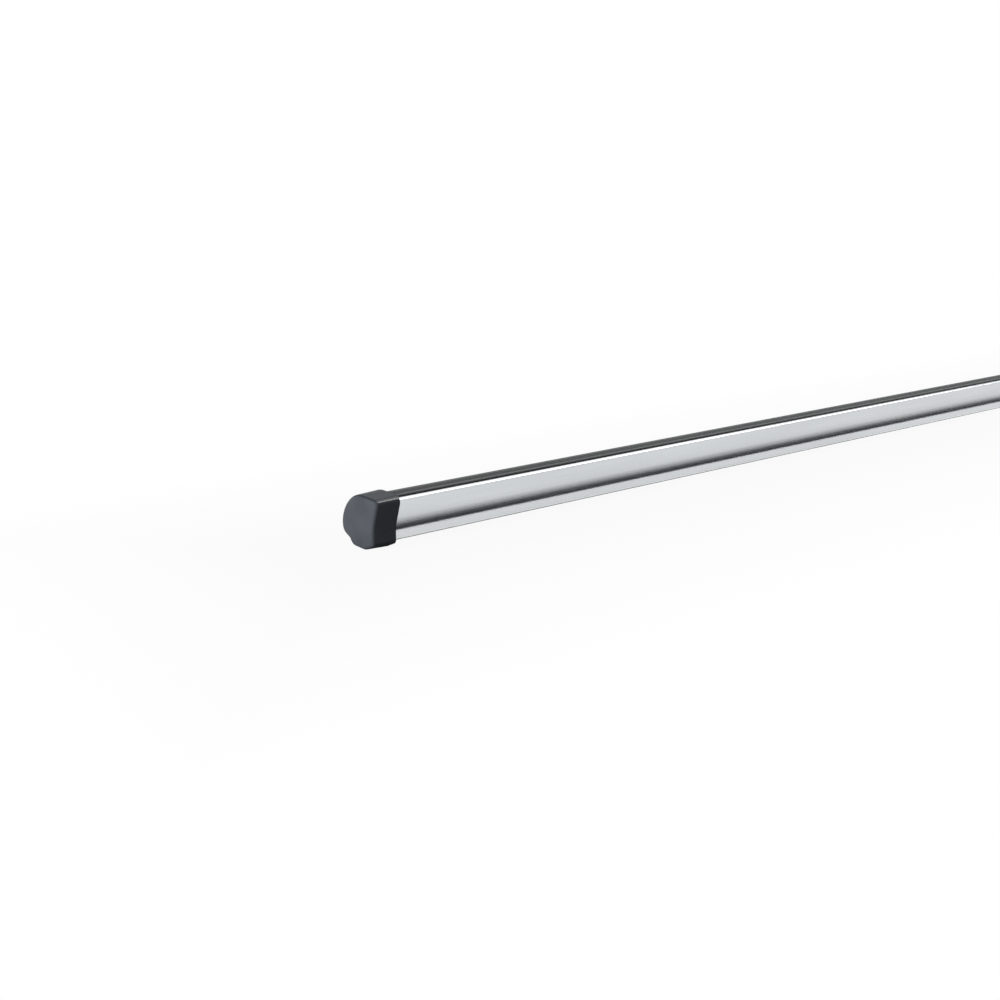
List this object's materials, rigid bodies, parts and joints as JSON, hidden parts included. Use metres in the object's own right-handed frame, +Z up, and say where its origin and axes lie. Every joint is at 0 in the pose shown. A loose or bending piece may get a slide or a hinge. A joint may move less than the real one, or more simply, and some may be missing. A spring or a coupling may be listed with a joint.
{
  "type": "roof rack crossbar",
  "caption": "Hollow aluminium roof rack crossbar with a leaning lipped side, a round nose, a rubber strip in its top slot, a foot slot underneath and black moulded end caps.",
  "frame": {"origin": "centre of the bar's length and width, on the surface that the end caps' soles stand on", "axes": "+X along the bar, +Y towards its round nose, +Z up out of the top slot"},
  "size_m": [1.2764, 0.0546, 0.0454],
  "materials": {
    "bar_aluminium": "bright satin anodised, with fine lines along the bar",
    "strip_rubber": "matt extruded rubber",
    "cap_plastic": "finely grained black moulding"
  },
  "bodies": {
    "root": {"crossbar": "bar_aluminium", "slot_strip": "strip_rubber", "end_cap_left": "cap_plastic", "end_cap_right": "cap_plastic"}
  },
  "joints": []
}
